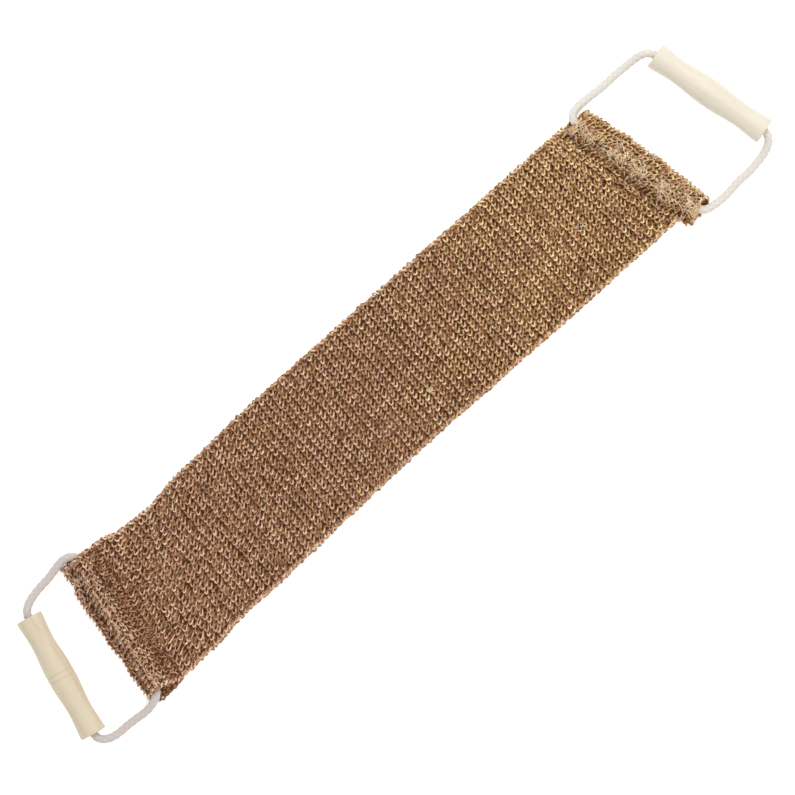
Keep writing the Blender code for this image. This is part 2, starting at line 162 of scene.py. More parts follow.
RIGHT = dict(
    name="right",
    side=1.0,
    channel_y=-0.002,
    turn=math.radians(12.7),
    end_reach=(0.0118, 0.015, 0.013),
    seam_reach=(0.0095, 0.0095, 0.0095),
    grip=(0.077, -0.0139, math.radians(0.4)),
    line_depth=0.00022,
    hem_minus=(
        (0.001, 0.0045, -0.0002), (0.0043, 0.0086, -0.0008), (0.0095, 0.0112, -0.0017),
        (0.0165, 0.0135, -0.0028), (0.024, 0.015, -0.0035), (0.035, 0.0162, -0.0036),
    ),
    grip_minus=(
        (-0.03, 0.0084, -0.0072), (-0.0205, 0.0094, -0.0066), (-0.013, 0.0094, -0.0049),
        (-0.007, 0.0083, -0.0027), (-0.0026, 0.0058, -0.001), (-0.0003, 0.0023, -0.0001),
    ),
    grip_plus=(
        (-0.0003, 0.0022, -0.0001), (-0.0023, 0.006, -0.0009), (-0.0064, 0.0093, -0.0024),
        (-0.0124, 0.0116, -0.0046), (-0.02, 0.0138, -0.0065), (-0.0291, 0.0162, -0.0072),
    ),
    hem_plus=(
        (0.035, 0.0015, -0.0036), (0.0258, 0.0043, -0.0035), (0.0165, 0.007, -0.0028),
        (0.0095, 0.0084, -0.0017), (0.0042, 0.0076, -0.0007), (0.001, 0.0043, -0.0001),
    ),
    fold=(
        (-1.0, -0.004, 0.0026), (-1.0, 0.002, 0.002), (0.0, 0.0, 0.00185), (0.65, 0.0, 0.00185),
        (1.0, -0.002, 0.0023), (1.0, 0.0, 0.0048), (1.0, -0.0018, 0.0076), (0.7, 0.0, 0.0094),
        (0.36, 0.0, 0.0108), (0.0, 0.0, 0.0124), (-0.35, 0.0, 0.0108), (-0.78, 0.0, 0.0072),
        (-1.2, 0.0, 0.0052),
    ),
    rim_wander=(
        (-1.0, 0.0), (-0.6, 0.0004), (-0.4, -0.0006), (-0.15, 0.0006), (0.05, -0.0004),
        (0.3, 0.0007), (0.52, -0.0003), (0.75, 0.0004), (1.0, -0.0002),
    ),
    hem_edges=(
        (0.0, -0.0575, 0.0625), (0.2, -0.0615, 0.0605), (0.38, -0.0625, 0.057),
        (0.5, -0.059, 0.0555), (0.62, -0.0566, 0.0548), (0.75, -0.0572, 0.0556),
        (0.88, -0.06, 0.0575), (1.0, -0.0608, 0.059),
    ),
    hem_shade=((0.0, 1.0), (0.8, 1.0), (0.92, 0.5), (1.0, 0.2)),
    hem_pitch=0.0046,
    whiskers=(
        ("combed_fibres", 205, (-0.005, 0.0022), (-0.052, 0.048, 5),
         0.0095, 0.00013, -1.95, 0.4, "fibre"),
        ("matted_fibres", 75, (-0.0055, 0.0035), (-0.056, 0.052, 0),
         0.0045, 0.00013, 1.9, 0.8, "fibre"),
        ("raw_ends", 95, (-0.0065, 0.003), (-0.056, 0.052, 7), 0.005, 0.00045, 2.2, 0.7, "pale"),
        ("curled_ends", 60, (-0.01, -0.005), (-0.058, 0.052, 0), 0.006, 0.00036, 1.4, 0.8, "marl"),
        ("long_ends", 5, (-0.001, 0.003), (0.01, 0.016, 0), 0.015, 0.00026, -2.6, 0.15, "fibre"),
        ("rim_fibres", 130, (0.01, 0.0135), (-0.056, 0.052, 0), 0.003, 0.00012, 0.2, 0.6, "fibre"),
    ),
)


# ---- arithmetic

def unit(vectors):
    """Vectors divided by their own lengths."""
    return vectors / np.maximum(np.linalg.norm(vectors, axis=-1, keepdims=True), 1e-12)


def eased(keys, values, column):
    """Column of keys at values: a smooth step 3t^2 - 2t^3 from each key to the next."""
    table = np.array(keys)
    values = np.clip(values, table[0, 0], table[-1, 0])
    after = np.clip(np.searchsorted(table[:, 0], values, side="right"), 1, len(table) - 1)
    t = (values - table[after - 1, 0]) / (table[after, 0] - table[after - 1, 0])
    step = t * t * (3 - 2 * t)
    return table[after - 1, column] * (1 - step) + table[after, column] * step


def through_three(values, share):
    """Parabola through three values at shares -1, 0 and +1."""
    low, middle, high = values
    return middle + (high - low) / 2 * share + ((high + low) / 2 - middle) * share ** 2


def wander(rows, columns, at):
    """Random numbers at whole columns, eased between them: rows by len(at) values."""
    dice = DICE.normal(0.0, 1.0, (rows, columns + 2)).clip(-2, 2)
    low = np.clip(np.floor(at).astype(int), 0, columns)
    t = np.clip(at - low, 0, 1)
    step = t * t * (3 - 2 * t)
    return dice[:, low] * (1 - step) + dice[:, low + 1] * step


def catmull(points, samples):
    """Uniform Catmull-Rom curve through points (first axis), `samples` to a span."""
    points = np.asarray(points, float)
    ends = np.concatenate([[2 * points[0] - points[1]], points, [2 * points[-1] - points[-2]]])
    a, b, c, d = ends[:-3], ends[1:-2], ends[2:-1], ends[3:]
    t = (np.arange(samples) / samples).reshape((1, samples) + (1,) * (points.ndim - 1))
    a, b, c, d = a[:, None], b[:, None], c[:, None], d[:, None]
    curve = 0.5 * (2 * b + (c - a) * t + (2 * a - 5 * b + 4 * c - d) * t ** 2
                   + (3 * b - a - 3 * c + d) * t ** 3)
    return np.concatenate([curve.reshape((-1,) + points.shape[1:]), points[-1:]])


def end_place(end):
    return BELT_MIDDLE_X + end["side"] * BELT_SPAN / 2, end["channel_y"]


def from_end(end, p, q, z):
    """World points of an end's own P, Q and height above the ground."""
    x, y = end_place(end)
    cos, sin = math.cos(end["turn"]), math.sin(end["turn"])
    return np.stack([x + p * cos - q * sin, y + p * sin + q * cos, z + 0 * p], axis=-1)


def end_direction(end, p, q, z):
    """World direction of an end's own P, Q and Z components."""
    return from_end(end, p, q, z) - from_end(end, 0 * p, 0 * q, 0 * z)


# ---- mesh makers

def quad_mesh(name, points, quads, material, uv=None, shade=None, smooth=True):
    """A mesh of quads from whole arrays, with an optional UV map and vertex shade."""
    mesh = bpy.data.meshes.new(name)
    mesh.vertices.add(len(points))
    mesh.vertices.foreach_set("co", np.asarray(points, np.float32).ravel())
    mesh.loops.add(4 * len(quads))
    mesh.loops.foreach_set("vertex_index", np.asarray(quads, np.int32).ravel())
    mesh.polygons.add(len(quads))
    mesh.polygons.foreach_set("loop_start", np.arange(0, 4 * len(quads), 4, dtype=np.int32))
    mesh.update(calc_edges=True)
    if uv is not None:
        layer = mesh.uv_layers.new(name="along_yarn")
        layer.data.foreach_set("uv", np.asarray(uv, np.float32).ravel())
    if shade is not None:
        layer = mesh.attributes.new("shade", "FLOAT", "POINT")
        layer.data.foreach_set("value", np.asarray(shade, np.float32).ravel())
    mesh.validate()
    if smooth:
        mesh.shade_smooth()
    mesh.materials.append(material)
    piece = bpy.data.objects.new(name, mesh)
    bpy.context.scene.collection.objects.link(piece)
    return piece


def ring_quads(strands, rings, sides):
    """Quads round every strand of rings, and fans of quads that cap its two ends."""
    strand = np.arange(strands)[:, None, None] * rings * sides
    ring = np.arange(rings - 1)[None, :, None] * sides
    side = np.arange(sides)[None, None, :]
    after = (side + 1) % sides
    here = strand + ring
    walls = np.stack([here + side, here + after, here + sides + after, here + sides + side], -1)
    fan = np.arange(1, sides - 2, 2)
    first = np.stack([0 * fan, fan + 2, fan + 1, fan], -1)[None]
    last = np.stack([0 * fan, fan, fan + 1, fan + 2], -1)[None] + (rings - 1) * sides
    caps = np.concatenate([first, last], 1) + np.arange(strands)[:, None, None] * rings * sides
    return walls, caps


def rings_round(paths, normals, radii, sides):
    """Circles across paths: centre + radius * (cos a * beside + sin a * above).

    paths and normals are strands x points x 3; radii are strands x points x sides or 1.
    """
    ahead = unit(np.gradient(paths, axis=1))
    beside = unit(np.cross(ahead, normals))
    above = np.cross(ahead, beside)
    angle = 2 * np.pi * np.arange(sides) / sides
    circle = (np.cos(angle)[:, None] * beside[:, :, None, :]
              + np.sin(angle)[:, None] * above[:, :, None, :])
    return paths[:, :, None, :] + radii[..., None] * circle


def tubes(name, points, length, material, shade):
    """Closed tubes from strands x rings x sides x 3 points.

    The UV map runs along each tube by its length and once round it.
    """
    strands, rings, sides, _ = points.shape
    walls, caps = ring_quads(strands, rings, sides)
    v0 = np.broadcast_to(np.arange(sides) / sides, (strands, rings - 1, sides))
    v1 = v0 + 1 / sides
    u0, u1 = (np.broadcast_to(u[..., None], v0.shape) for u in (length[:, :-1], length[:, 1:]))
    corners = ((u0, v0), (u0, v1), (u1, v1), (u1, v0))
    wall_uv = np.stack([np.stack(corner, -1) for corner in corners], -2)
    cap_u = np.repeat(length[:, 0], caps[0].size)
    uv = np.concatenate([wall_uv.reshape(-1, 2), np.stack([cap_u, 0 * cap_u], -1)])
    quads = np.concatenate([walls.reshape(-1, 4), caps.reshape(-1, 4)])
    shade = np.broadcast_to(shade, (strands, rings, sides)).reshape(-1)
    return quad_mesh(name, points.reshape(-1, 3), quads, material, uv, shade)


def yarns(name, paths, normals, radii, sides, material, shade):
    """Round yarns along strands x points x 3 paths; radii and shade strands x points."""
    points = rings_round(paths, normals, radii[..., None], sides)
    length = np.cumsum(np.linalg.norm(np.diff(paths, axis=1, prepend=paths[:, :1]), axis=2), 1)
    length = length + DICE.uniform(0, 5, len(paths))[:, None]
    return tubes(name, points, length, material, shade[..., None])


def slab(name, upper, lower, material):
    """A closed cloth from two grids of points: upper face, lower face and rim."""
    rows, columns, _ = upper.shape
    index = np.arange(rows * columns).reshape(rows, columns)
    top = np.stack([index[:-1, :-1], index[1:, :-1], index[1:, 1:], index[:-1, 1:]], -1)
    shift = rows * columns
    under = top[..., ::-1] + shift
    rim = np.concatenate([index[0, :-1], index[:-1, -1], index[-1, :0:-1], index[:0:-1, 0]])
    after = np.roll(rim, -1)
    wall = np.stack([rim, after, after + shift, rim + shift], -1)
    quads = np.concatenate([top.reshape(-1, 4), under.reshape(-1, 4), wall])
    points = np.concatenate([upper.reshape(-1, 3), lower.reshape(-1, 3)])
    piece = quad_mesh(name, points, quads, material)
    outward(piece)
    return piece


def outward(piece):
    """Turns a closed mesh's faces outwards if its volume says they point in."""
    mesh = piece.data
    co = np.empty(len(mesh.vertices) * 3, np.float32)
    mesh.vertices.foreach_get("co", co)
    co = co.reshape(-1, 3).astype(float)
    mesh.calc_loop_triangles()
    tri = np.empty(len(mesh.loop_triangles) * 3, np.int32)
    mesh.loop_triangles.foreach_get("vertices", tri)
    a, b, c = (co[tri.reshape(-1, 3)[:, k]] for k in range(3))
    if (a * np.cross(b, c)).sum() < 0:
        mesh.flip_normals()


# ---- materials

def shader_of(name, roughness):
    made = bpy.data.materials.new(name)
    made.use_nodes = True
    tree = made.node_tree
    shader = tree.nodes["Principled BSDF"]
    shader.inputs["Roughness"].default_value = roughness
    shader.inputs["Specular IOR Level"].default_value = 0.25
    return made, tree, shader


def added(tree, kind, inputs, output, **settings):
    """One output of a new shader node; each input is a socket to link or a value."""
    node = tree.nodes.new("ShaderNode" + kind)
    for key, value in settings.items():
        setattr(node, key, value)
    for key, value in inputs.items():
        if isinstance(value, bpy.types.NodeSocket):
            tree.links.new(value, node.inputs[key])
        else:
            node.inputs[key].default_value = value
    return node.outputs[output]


def ramp(tree, source, stops):
    """Colours at positions 0 to 1 of a source socket."""
    node = tree.nodes.new("ShaderNodeValToRGB")
    while len(node.color_ramp.elements) < len(stops):
        node.color_ramp.elements.new(0.5)
    for element, (place, colour) in zip(node.color_ramp.elements, stops):
        element.position = place
        element.color = (*colour, 1.0)
    tree.links.new(source, node.inputs["Fac"])
    return node.outputs["Color"]


def object_place(tree):
    return added(tree, "TexCoord", {}, "Object")


def along_yarn(tree, scale, turn=0.0):
    """The yarn's own UV map, scaled and turned."""
    uv = added(tree, "UVMap", {}, "UV", uv_map="along_yarn")
    return stretched(tree, uv, scale, turn)


def own_value(tree, name, output):
    """A value that the mesh carries at its vertices."""
    return added(tree, "Attribute", {}, output, attribute_name=name)


def stretched(tree, source, scale, turn=0.0):
    inputs = {"Vector": source, "Scale": scale, "Rotation": (0.0, 0.0, turn)}
    return added(tree, "Mapping", inputs, "Vector")


def noise(tree, vector, scale, detail, rough):
    inputs = {"Vector": vector, "Scale": scale, "Detail": detail, "Roughness": rough}
    return added(tree, "TexNoise", inputs, "Fac")


def blended(tree, how, factor, first, second):
    """Mix of two colour sockets."""
    inputs = {0: factor, 6: first, 7: second}
    return added(tree, "Mix", inputs, 2, data_type="RGBA", blend_type=how)


def worked(tree, how, *values):
    """Arithmetic on values, each a socket or a number."""
    return added(tree, "Math", dict(enumerate(values)), 0, operation=how)


def bumped(tree, shader, height, strength, distance):
    inputs = {"Height": height, "Strength": strength, "Distance": distance}
    tree.links.new(added(tree, "Bump", inputs, "Normal"), shader.inputs["Normal"])


def marled_yarn(name, tones, tint_left, tint_middle, tint_right):
    """Two-ply yarn: tone drifts along the strand, plies twist round it, fibres streak it.

    A tint runs from the belt's left end to its right in soft patches, and painted shade from
    the mesh's shade attribute darkens what lies deep, in creases and beside the seams.
    """
    made, tree, shader = shader_of(name, 0.9)
    shader.inputs["Sheen Weight"].default_value = 0.25
    shader.inputs["Sheen Roughness"].default_value = 0.5
    drift = noise(tree, along_yarn(tree, (150.0, 1.0, 1.0)), 1.0, 2.0, 0.6)
    ply = noise(tree, along_yarn(tree, (420.0, 3.5, 1.0), 0.3), 1.0, 2.0, 0.6)
    hue = noise(tree, along_yarn(tree, (260.0, 1.0, 1.0), 0.1), 1.0, 1.0, 0.5)
    place = object_place(tree)
    x = added(tree, "SeparateXYZ", {0: place}, "X")
    span = {"Value": x, "From Min": TINT_FROM_X, "From Max": TINT_TO_X}
    share = added(tree, "MapRange", span, "Result")
    patch = noise(tree, place, 22.0, 2.0, 0.55)
    shifted = worked(tree, "SUBTRACT", share, TINT_PATCHES / 2)
    drifted = worked(tree, "MULTIPLY_ADD", patch, TINT_PATCHES, shifted)
    layers = (
        ramp(tree, hue, ((0.4, (1.04, 0.92, 0.97)), (0.6, (0.99, 1.04, 0.84)))),
        ramp(tree, drifted, ((0.0, tint_left), (0.5, tint_middle), (1.0, tint_right))),
        ramp(tree, own_value(tree, "shade", "Fac"), DEPTH_SHADE_TONES),
    )
    colour = ramp(tree, blended(tree, "MIX", 0.5, drift, ply), tones)
    for layer in layers:
        colour = blended(tree, "MULTIPLY", 1.0, colour, layer)
    tree.links.new(colour, shader.inputs["Base Color"])
    bumped(tree, shader, ply, 0.55, 0.0004)
    return made


def speckled(name, roughness, grain, stops, bump=None):
    """Plain fibre or thread: a ramp of stops over noise of one grain, changing by place."""
    made, tree, shader = shader_of(name, roughness)
    fleck = noise(tree, object_place(tree), *grain)
    tree.links.new(ramp(tree, fleck, stops), shader.inputs["Base Color"])
    if bump:
        bumped(tree, shader, fleck, *bump)
    return made


def braided_cotton(name, colour):
    """Soft off-white cotton: fine threads along each plait, and painted shade making it slightly
    greyer in the dips.
    """
    made, tree, shader = shader_of(name, 0.85)
    shader.inputs["Sheen Weight"].default_value = 0.3
    thread = noise(tree, along_yarn(tree, (900.0, 30.0, 1.0)), 1.0, 2.0, 0.6)
    # Painted shade: greyer where the braid's relief is low, between strands.
    grey = tuple(0.86 * c for c in colour)
    base = ramp(tree, own_value(tree, "shade", "Fac"), ((0.0, grey), (0.7, colour)))
    light = ramp(tree, thread, ((0.25, (0.9, 0.89, 0.88)), (0.75, (1.0, 1.0, 1.0))))
    tree.links.new(blended(tree, "MULTIPLY", 1.0, base, light), shader.inputs["Base Color"])
    bumped(tree, shader, thread, 0.35, 0.0002)
    return made


def turned_wood(name, pale, dark):
    """Bare sanded wood: growth rings cut along the log, short darker pores."""
    made, tree, shader = shader_of(name, 0.5)
    shader.inputs["Coat Weight"].default_value = 0.06
    shader.inputs["Coat Roughness"].default_value = 0.45
    log = own_value(tree, "log", "Vector")
    rings = noise(tree, stretched(tree, log, (160.0, 9.0, 90.0)), 1.0, 4.0, 0.6)
    pores = noise(tree, stretched(tree, log, (1500.0, 90.0, 1500.0)), 1.0, 2.0, 0.5)
    palest = tuple(min(1, 1.05 * c) for c in pale)
    base = ramp(tree, rings, ((0.3, dark), (0.48, pale), (0.75, palest)))
    speck = ramp(tree, pores, ((0.28, (0.86, 0.8, 0.72)), (0.42, (1.0, 1.0, 1.0))))
    tree.links.new(blended(tree, "MULTIPLY", 0.55, base, speck), shader.inputs["Base Color"])
    rough = ramp(tree, rings, ((0.2, (0.42,) * 3), (0.8, (0.58,) * 3)))
    tree.links.new(rough, shader.inputs["Roughness"])
    bumped(tree, shader, pores, 0.12, 0.0002)
    return made


TINT_FROM_X = -0.26
TINT_TO_X = 0.2
TINT_PATCHES = 0.9  # how far patches shift the tint, as a share of the belt
# Painted shade: colour by the mesh's shade attribute, darkest for yarn lying deep in the cloth.
DEPTH_SHADE_TONES = (
    (0.0, (0.22, 0.13, 0.09)),
    (0.14, (0.6, 0.46, 0.34)),
    (0.5, (0.74, 0.62, 0.51)),
    (0.86, (1.0, 1.0, 1.0)),
)
TONES = (
    (0.36, (0.13, 0.045, 0.016)),
    (0.45, (0.32, 0.16, 0.075)),
    (0.53, (0.58, 0.385, 0.24)),
    (0.62, (0.82, 0.64, 0.49)),
)
KNIT_YARN = marled_yarn(
    "loofah_marl", TONES, (1.08, 1.07, 1.13), (0.99, 0.965, 0.95), (1.2, 1.28, 1.1),
)
PALE_TONES = (
    (0.3, (0.36, 0.22, 0.12)),
    (0.48, (0.66, 0.48, 0.31)),
    (0.62, (0.88, 0.74, 0.58)),
)
RAW_YARN = marled_yarn(
    "loofah_raw_ends", PALE_TONES, (0.92, 0.82, 0.86), (0.97, 0.92, 0.88), (1.0, 1.0, 0.9),
)
FIBRE_GRAIN = (160.0, 1.0, 0.5)
FIBRE = speckled(
    "loofah_fibre", 0.7, FIBRE_GRAIN, ((0.35, (0.78, 0.55, 0.34)), (0.62, (1.0, 0.85, 0.64))),
)
WHITE_FIBRE = speckled(
    "white_fibre", 0.7, FIBRE_GRAIN, ((0.35, (0.78, 0.75, 0.74)), (0.62, (0.9, 0.88, 0.87))),
)
# A near-black core of the knitting, seen only between the loops: its colour is painted shade.
SHADE_DARK_GROUND = speckled(
    "loofah_core_painted_shade", 1.0, (700.0, 3.0, 0.7),
    ((0.3, (0.05625, 0.0216, 0.00765)), (0.75, (0.125, 0.048, 0.017))), (0.8, 0.0006),
)
CORD_COTTON = {
    "left": braided_cotton("cord_cotton_left", (0.57, 0.515, 0.485)),
    "right": braided_cotton("cord_cotton_right", (0.68, 0.64, 0.585)),
}
THREAD = speckled(
    "binding_thread", 0.8, (900.0, 3.0, 0.6),
    ((0.3, (0.615, 0.5925, 0.555)), (0.7, (0.82, 0.79, 0.74))), (0.4, 0.0002),
)
# Painted light: one wood in two copies, shaded and warmer for the left grip, lit and paler for the
# right.
GRIP_WOOD = {
    "left": turned_wood("grip_wood_shaded_left", (0.61, 0.525, 0.39), (0.53, 0.43, 0.29)),
    "right": turned_wood("grip_wood_lit_right", (0.64, 0.59, 0.485), (0.62, 0.565, 0.455)),
}


# ---- camera, light, floor

VIEW_TURN = math.radians(-42.1)
VIEW_CENTRE = (0.0, -0.011)
VIEW_WIDTH = 0.6042  # on the table, at the camera's height and lens
CAMERA_HEIGHT = 3.2
SENSOR_WIDTH = 36.0  # millimetres
FLOOR_HALF = 3.0
FLOOR_Z = -0.0004


def add_camera():
    data = bpy.data.cameras.new("overhead")
    data.sensor_width = SENSOR_WIDTH
    data.lens = SENSOR_WIDTH * CAMERA_HEIGHT / VIEW_WIDTH
    data.clip_start = 0.05
    camera = bpy.data.objects.new("overhead", data)
    camera.location = (*VIEW_CENTRE, CAMERA_HEIGHT)
    camera.rotation_euler = (0.0, 0.0, VIEW_TURN)
    bpy.context.scene.collection.objects.link(camera)
    bpy.context.scene.camera = camera


def add_lamp(name, place, size, power):
    """A square lamp aimed at the middle of the table."""
    data = bpy.data.lights.new(name, "AREA")
    data.size = size
    data.energy = power
    lamp = bpy.data.objects.new(name, data)
    lamp.location = place
    x, y, z = place
    lamp.rotation_euler = (math.atan2(math.hypot(x, y), z), 0.0, math.atan2(-y, -x) - math.pi / 2)
    bpy.context.scene.collection.objects.link(lamp)


def add_floor():
    corners = ((-1, -1), (1, -1), (1, 1), (-1, 1))
    points = [(x * FLOOR_HALF, y * FLOOR_HALF, FLOOR_Z) for x, y in corners]
    made, _, shader = shader_of("white_table", 0.9)
    shader.inputs["Base Color"].default_value = (0.94, 0.94, 0.94, 1.0)
    shader.inputs["Emission Color"].default_value = (1.0, 1.0, 1.0, 1.0)
    shader.inputs["Emission Strength"].default_value = 0.35
    floor = quad_mesh("white_table", points, [(0, 1, 2, 3)], made, smooth=False)


def add_world():
    world = bpy.data.worlds.new("studio")
    bpy.context.scene.world = world
    world.use_nodes = True
    back = world.node_tree.nodes["Background"]
    back.inputs["Color"].default_value = (1.0, 1.0, 1.0, 1.0)
    back.inputs["Strength"].default_value = 0.74


add_camera()
add_floor()
add_world()
add_lamp("key", (1.1, 0.55, 1.5), 0.9, 20.0)
add_lamp("fill", (-0.9, -0.6, 1.8), 1.6, 9.0)
bpy.context.scene.view_settings.view_transform = "Standard"


# ---- cords

def cord_route(end):
    """Route points of a cord loop in its end's frame, from binding to binding."""
    start = BINDING_LENGTH / 2 + 0.0003
    turn = end["grip"][2]
    along_p, along_q = -math.sin(turn), math.cos(turn)
    grip_p, grip_q, _ = end["grip"]
    half = GRIP_LENGTH / 2
    rise = GRIP_Z - CHANNEL_Z

    def from_mouth(steps, side):
        return [(p, side * (CHANNEL_HALF + q), z) for p, q, z in steps]

    def from_grip(steps, side):
        end_p, end_q = grip_p + side * half * along_p, grip_q + side * half * along_q
        return [(end_p + p, end_q + side * q, rise + z) for p, q, z in steps]

    channel = (start, CHANNEL_HALF * 0.5, CHANNEL_HALF * 0.85, CHANNEL_HALF)
    bore = (-1.0, -0.9, -0.5, 0.0, 0.5, 0.9, 1.0)
    route = [(0.0, -q, 0.0) for q in channel]
    route += from_mouth(end["hem_minus"], -1) + from_grip(end["grip_minus"], -1)
    route += [(grip_p + s * half * along_p, grip_q + s * half * along_q, rise) for s in bore]
    route += from_grip(end["grip_plus"], 1) + from_mouth(end["hem_plus"], 1)
    route += [(0.0, q, 0.0) for q in reversed(channel)]
    return np.array([(p, q, max(z + CHANNEL_Z, CORD_LOW_Z)) for p, q, z in route])


def centripetal(route, samples):
    """Catmull-Rom curve through a route, its knots spaced by the root of each chord."""
    ends = np.concatenate([[2 * route[0] - route[1]], route, [2 * route[-1] - route[-2]]])
    p0, p1, p2, p3 = (ends[k:len(ends) - 3 + k][:, None] for k in range(4))
    t1 = np.sqrt(np.linalg.norm(p1 - p0, axis=2, keepdims=True))
    t2 = t1 + np.sqrt(np.linalg.norm(p2 - p1, axis=2, keepdims=True))
    t3 = t2 + np.sqrt(np.linalg.norm(p3 - p2, axis=2, keepdims=True))
    t = t1 + (t2 - t1) * (np.arange(samples) / samples)[None, :, None]
    a = p0 * ((t1 - t) / t1) + p1 * (t / t1)
    b = p1 * ((t2 - t) / (t2 - t1)) + p2 * ((t - t1) / (t2 - t1))
    c = p2 * ((t3 - t) / (t3 - t2)) + p3 * ((t - t2) / (t3 - t2))
    d = a * ((t2 - t) / t2) + b * (t / t2)
    e = b * ((t3 - t) / (t3 - t1)) + c * ((t - t1) / (t3 - t1))
    curve = d * ((t2 - t) / (t2 - t1)) + e * ((t - t1) / (t2 - t1))
    return np.concatenate([curve.reshape(-1, 3), route[-1:]])


def evenly(line, step):
    """Points along a line at even distances close to step."""
    lengths = np.concatenate([[0.0], np.linalg.norm(np.diff(line, axis=0), axis=1).cumsum()])
    at = np.linspace(0.0, lengths[-1], round(lengths[-1] / step) + 1)
    return np.stack([np.interp(at, lengths, line[:, k]) for k in range(3)], axis=1), lengths[-1]


BRAID_LAY = 0.021  # one strand's way once round the cord
BRAID_STRANDS = 8  # half of them wound each way
BRAID_LOW = 0.9  # of the cord's radius, between strands
BRAID_RISE = 0.11
CORD_RING_STEP = 0.0006
CORD_SIDES = 32


def braided_cord(end):
    """Cord: a tube whose radius swells where two opposite families of helices cross.

    radius = R * (low + rise * sqrt(|cos a| * |cos b|)), with a and b the phases of
    the right-handed and the left-handed strands at that length and angle.
    """
    name = end["name"]
    route = cord_route(end)
    world = from_end(end, route[:, 0], route[:, 1], route[:, 2])
    line, length = evenly(centripetal(world, 24), CORD_RING_STEP)
    angle = 2 * np.pi * np.arange(CORD_SIDES) / CORD_SIDES
    along = np.linspace(0.0, length, len(line))
    lay = 2 * np.pi * along[:, None] / BRAID_LAY
    right, left = (np.abs(np.cos(BRAID_STRANDS / 4 * (angle + way * lay))) for way in (1, -1))
    relief = np.sqrt(right * left)
    radius = CORD_DIAMETER / 2 * (BRAID_LOW + BRAID_RISE * relief)
    points = rings_round(line[None], np.array((0.0, 0.0, 1.0)), radius[None], CORD_SIDES)
    # The relief also sets the painted shade in the cotton's dips.
    piece = tubes(f"braided_cord_{name}", points, along[None], CORD_COTTON[name], relief[None])
    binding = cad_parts[f"cord_binding_{name}"]
    binding.data.materials.clear()
    binding.data.materials.append(THREAD)
    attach(piece, f"{name}_loop")
    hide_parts(f"cord_{name}")


for strap_end in (LEFT, RIGHT):
    braided_cord(strap_end)


# ---- grips

def grip_radius(y, line_depth):
    """Radius of the turned outline: cosine swells between belly, waists and ends."""
    away = np.abs(y)
    inner = (1 + np.cos(np.pi * np.clip(away / GRIP_WAIST_AT, 0, 1) ** 1.15)) / 2
    share = np.clip((away - GRIP_WAIST_AT) / (GRIP_LENGTH / 2 - GRIP_WAIST_AT), 0, 1)
    outer = (1 - np.cos(np.pi * share ** 1.1)) / 2
    radius = np.where(
        away < GRIP_WAIST_AT,
        GRIP_WAIST_RADIUS + (GRIP_BELLY_RADIUS - GRIP_WAIST_RADIUS) * inner,
        GRIP_WAIST_RADIUS + (GRIP_END_RADIUS - GRIP_WAIST_RADIUS) * outer,
    )
    return radius - line_depth * np.exp(-((away - GRIP_LINE_AT) / GRIP_LINE_WIDTH) ** 2)


GRIP_SIDES = 72
BORE_RINGS = 19


def turned_grip(end):
    """A bored grip: the outline above turned about its axis, with rounded rims."""
    name = end["name"]
    half, edge, bore_edge = GRIP_LENGTH / 2, GRIP_EDGE_ROUND, BORE_EDGE_ROUND
    body = half - edge
    y = np.unique(np.concatenate([np.linspace(-body, body, 61), np.linspace(-0.004, 0.004, 33)]))
    turn = np.linspace(0, np.pi / 2, 7)[1:]
    rim_y = body + edge * np.sin(turn)
    rim_r = grip_radius(np.array(body), 0.0) - edge * (1 - np.cos(turn))
    inner_y = half - bore_edge * (1 - np.cos(turn))
    inner_r = BORE_RADIUS + bore_edge * (1 - np.sin(turn))
    bore_y = np.linspace(half - bore_edge, bore_edge - half, BORE_RINGS + 2)[1:-1]
    bore_r = np.full(BORE_RINGS, BORE_RADIUS)
    outline_y = np.concatenate([y, rim_y, inner_y, bore_y, -inner_y[::-1], -rim_y[::-1]])
    outline_r = np.concatenate([
        grip_radius(y, end["line_depth"]), rim_r, inner_r, bore_r, inner_r[::-1], rim_r[::-1],
    ])
    rings = len(outline_y)
    angle = 2 * np.pi * np.arange(GRIP_SIDES) / GRIP_SIDES
    local = np.stack([
        outline_r[:, None] * np.cos(angle),
        np.broadcast_to(outline_y[:, None], (rings, GRIP_SIDES)),
        outline_r[:, None] * np.sin(angle),
    ], -1)
    ring = np.arange(rings)[:, None] * GRIP_SIDES
    after_ring = (np.arange(rings)[:, None] + 1) % rings * GRIP_SIDES
    side = np.arange(GRIP_SIDES)[None]
    after = (side + 1) % GRIP_SIDES
    quads = np.stack([ring + side, ring + after, after_ring + after, after_ring + side], -1)
    grip_p, grip_q, grip_turn = end["grip"]
    cos, sin = math.cos(grip_turn), math.sin(grip_turn)
    p = grip_p + local[..., 0] * cos - local[..., 1] * sin
    q = grip_q + local[..., 0] * sin + local[..., 1] * cos
    points = from_end(end, p, q, GRIP_Z + local[..., 2])
    piece = quad_mesh(
        f"turned_grip_{name}", points.reshape(-1, 3), quads.reshape(-1, 4), GRIP_WOOD[name],
    )
    layer = piece.data.attributes.new("log", "FLOAT_VECTOR", "POINT")
    shift = np.array([0.02, 0.3 * end["side"], 0.013])
    layer.data.foreach_set("vector", (local + shift).astype(np.float32).ravel())
    piece.data.set_sharp_from_angle(angle=math.radians(50))
    outward(piece)
    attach(piece, f"{name}_grip")
    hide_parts(f"handle_{name}")


for strap_end in (LEFT, RIGHT):
    turned_grip(strap_end)


# ---- the belt's cloth

def belt_edges(x):
    """Y of the belt's two long edges at X."""
    share = (x - BELT_MIDDLE_X) / BELT_SPAN + 0.5
    upper = BELT_MIDDLE_Y + BELT_WIDTH / 2 + eased(EDGE_WANDER, share, 1)
    lower = BELT_MIDDLE_Y - BELT_WIDTH / 2 - eased(EDGE_WANDER, share, 2)
    return lower, upper


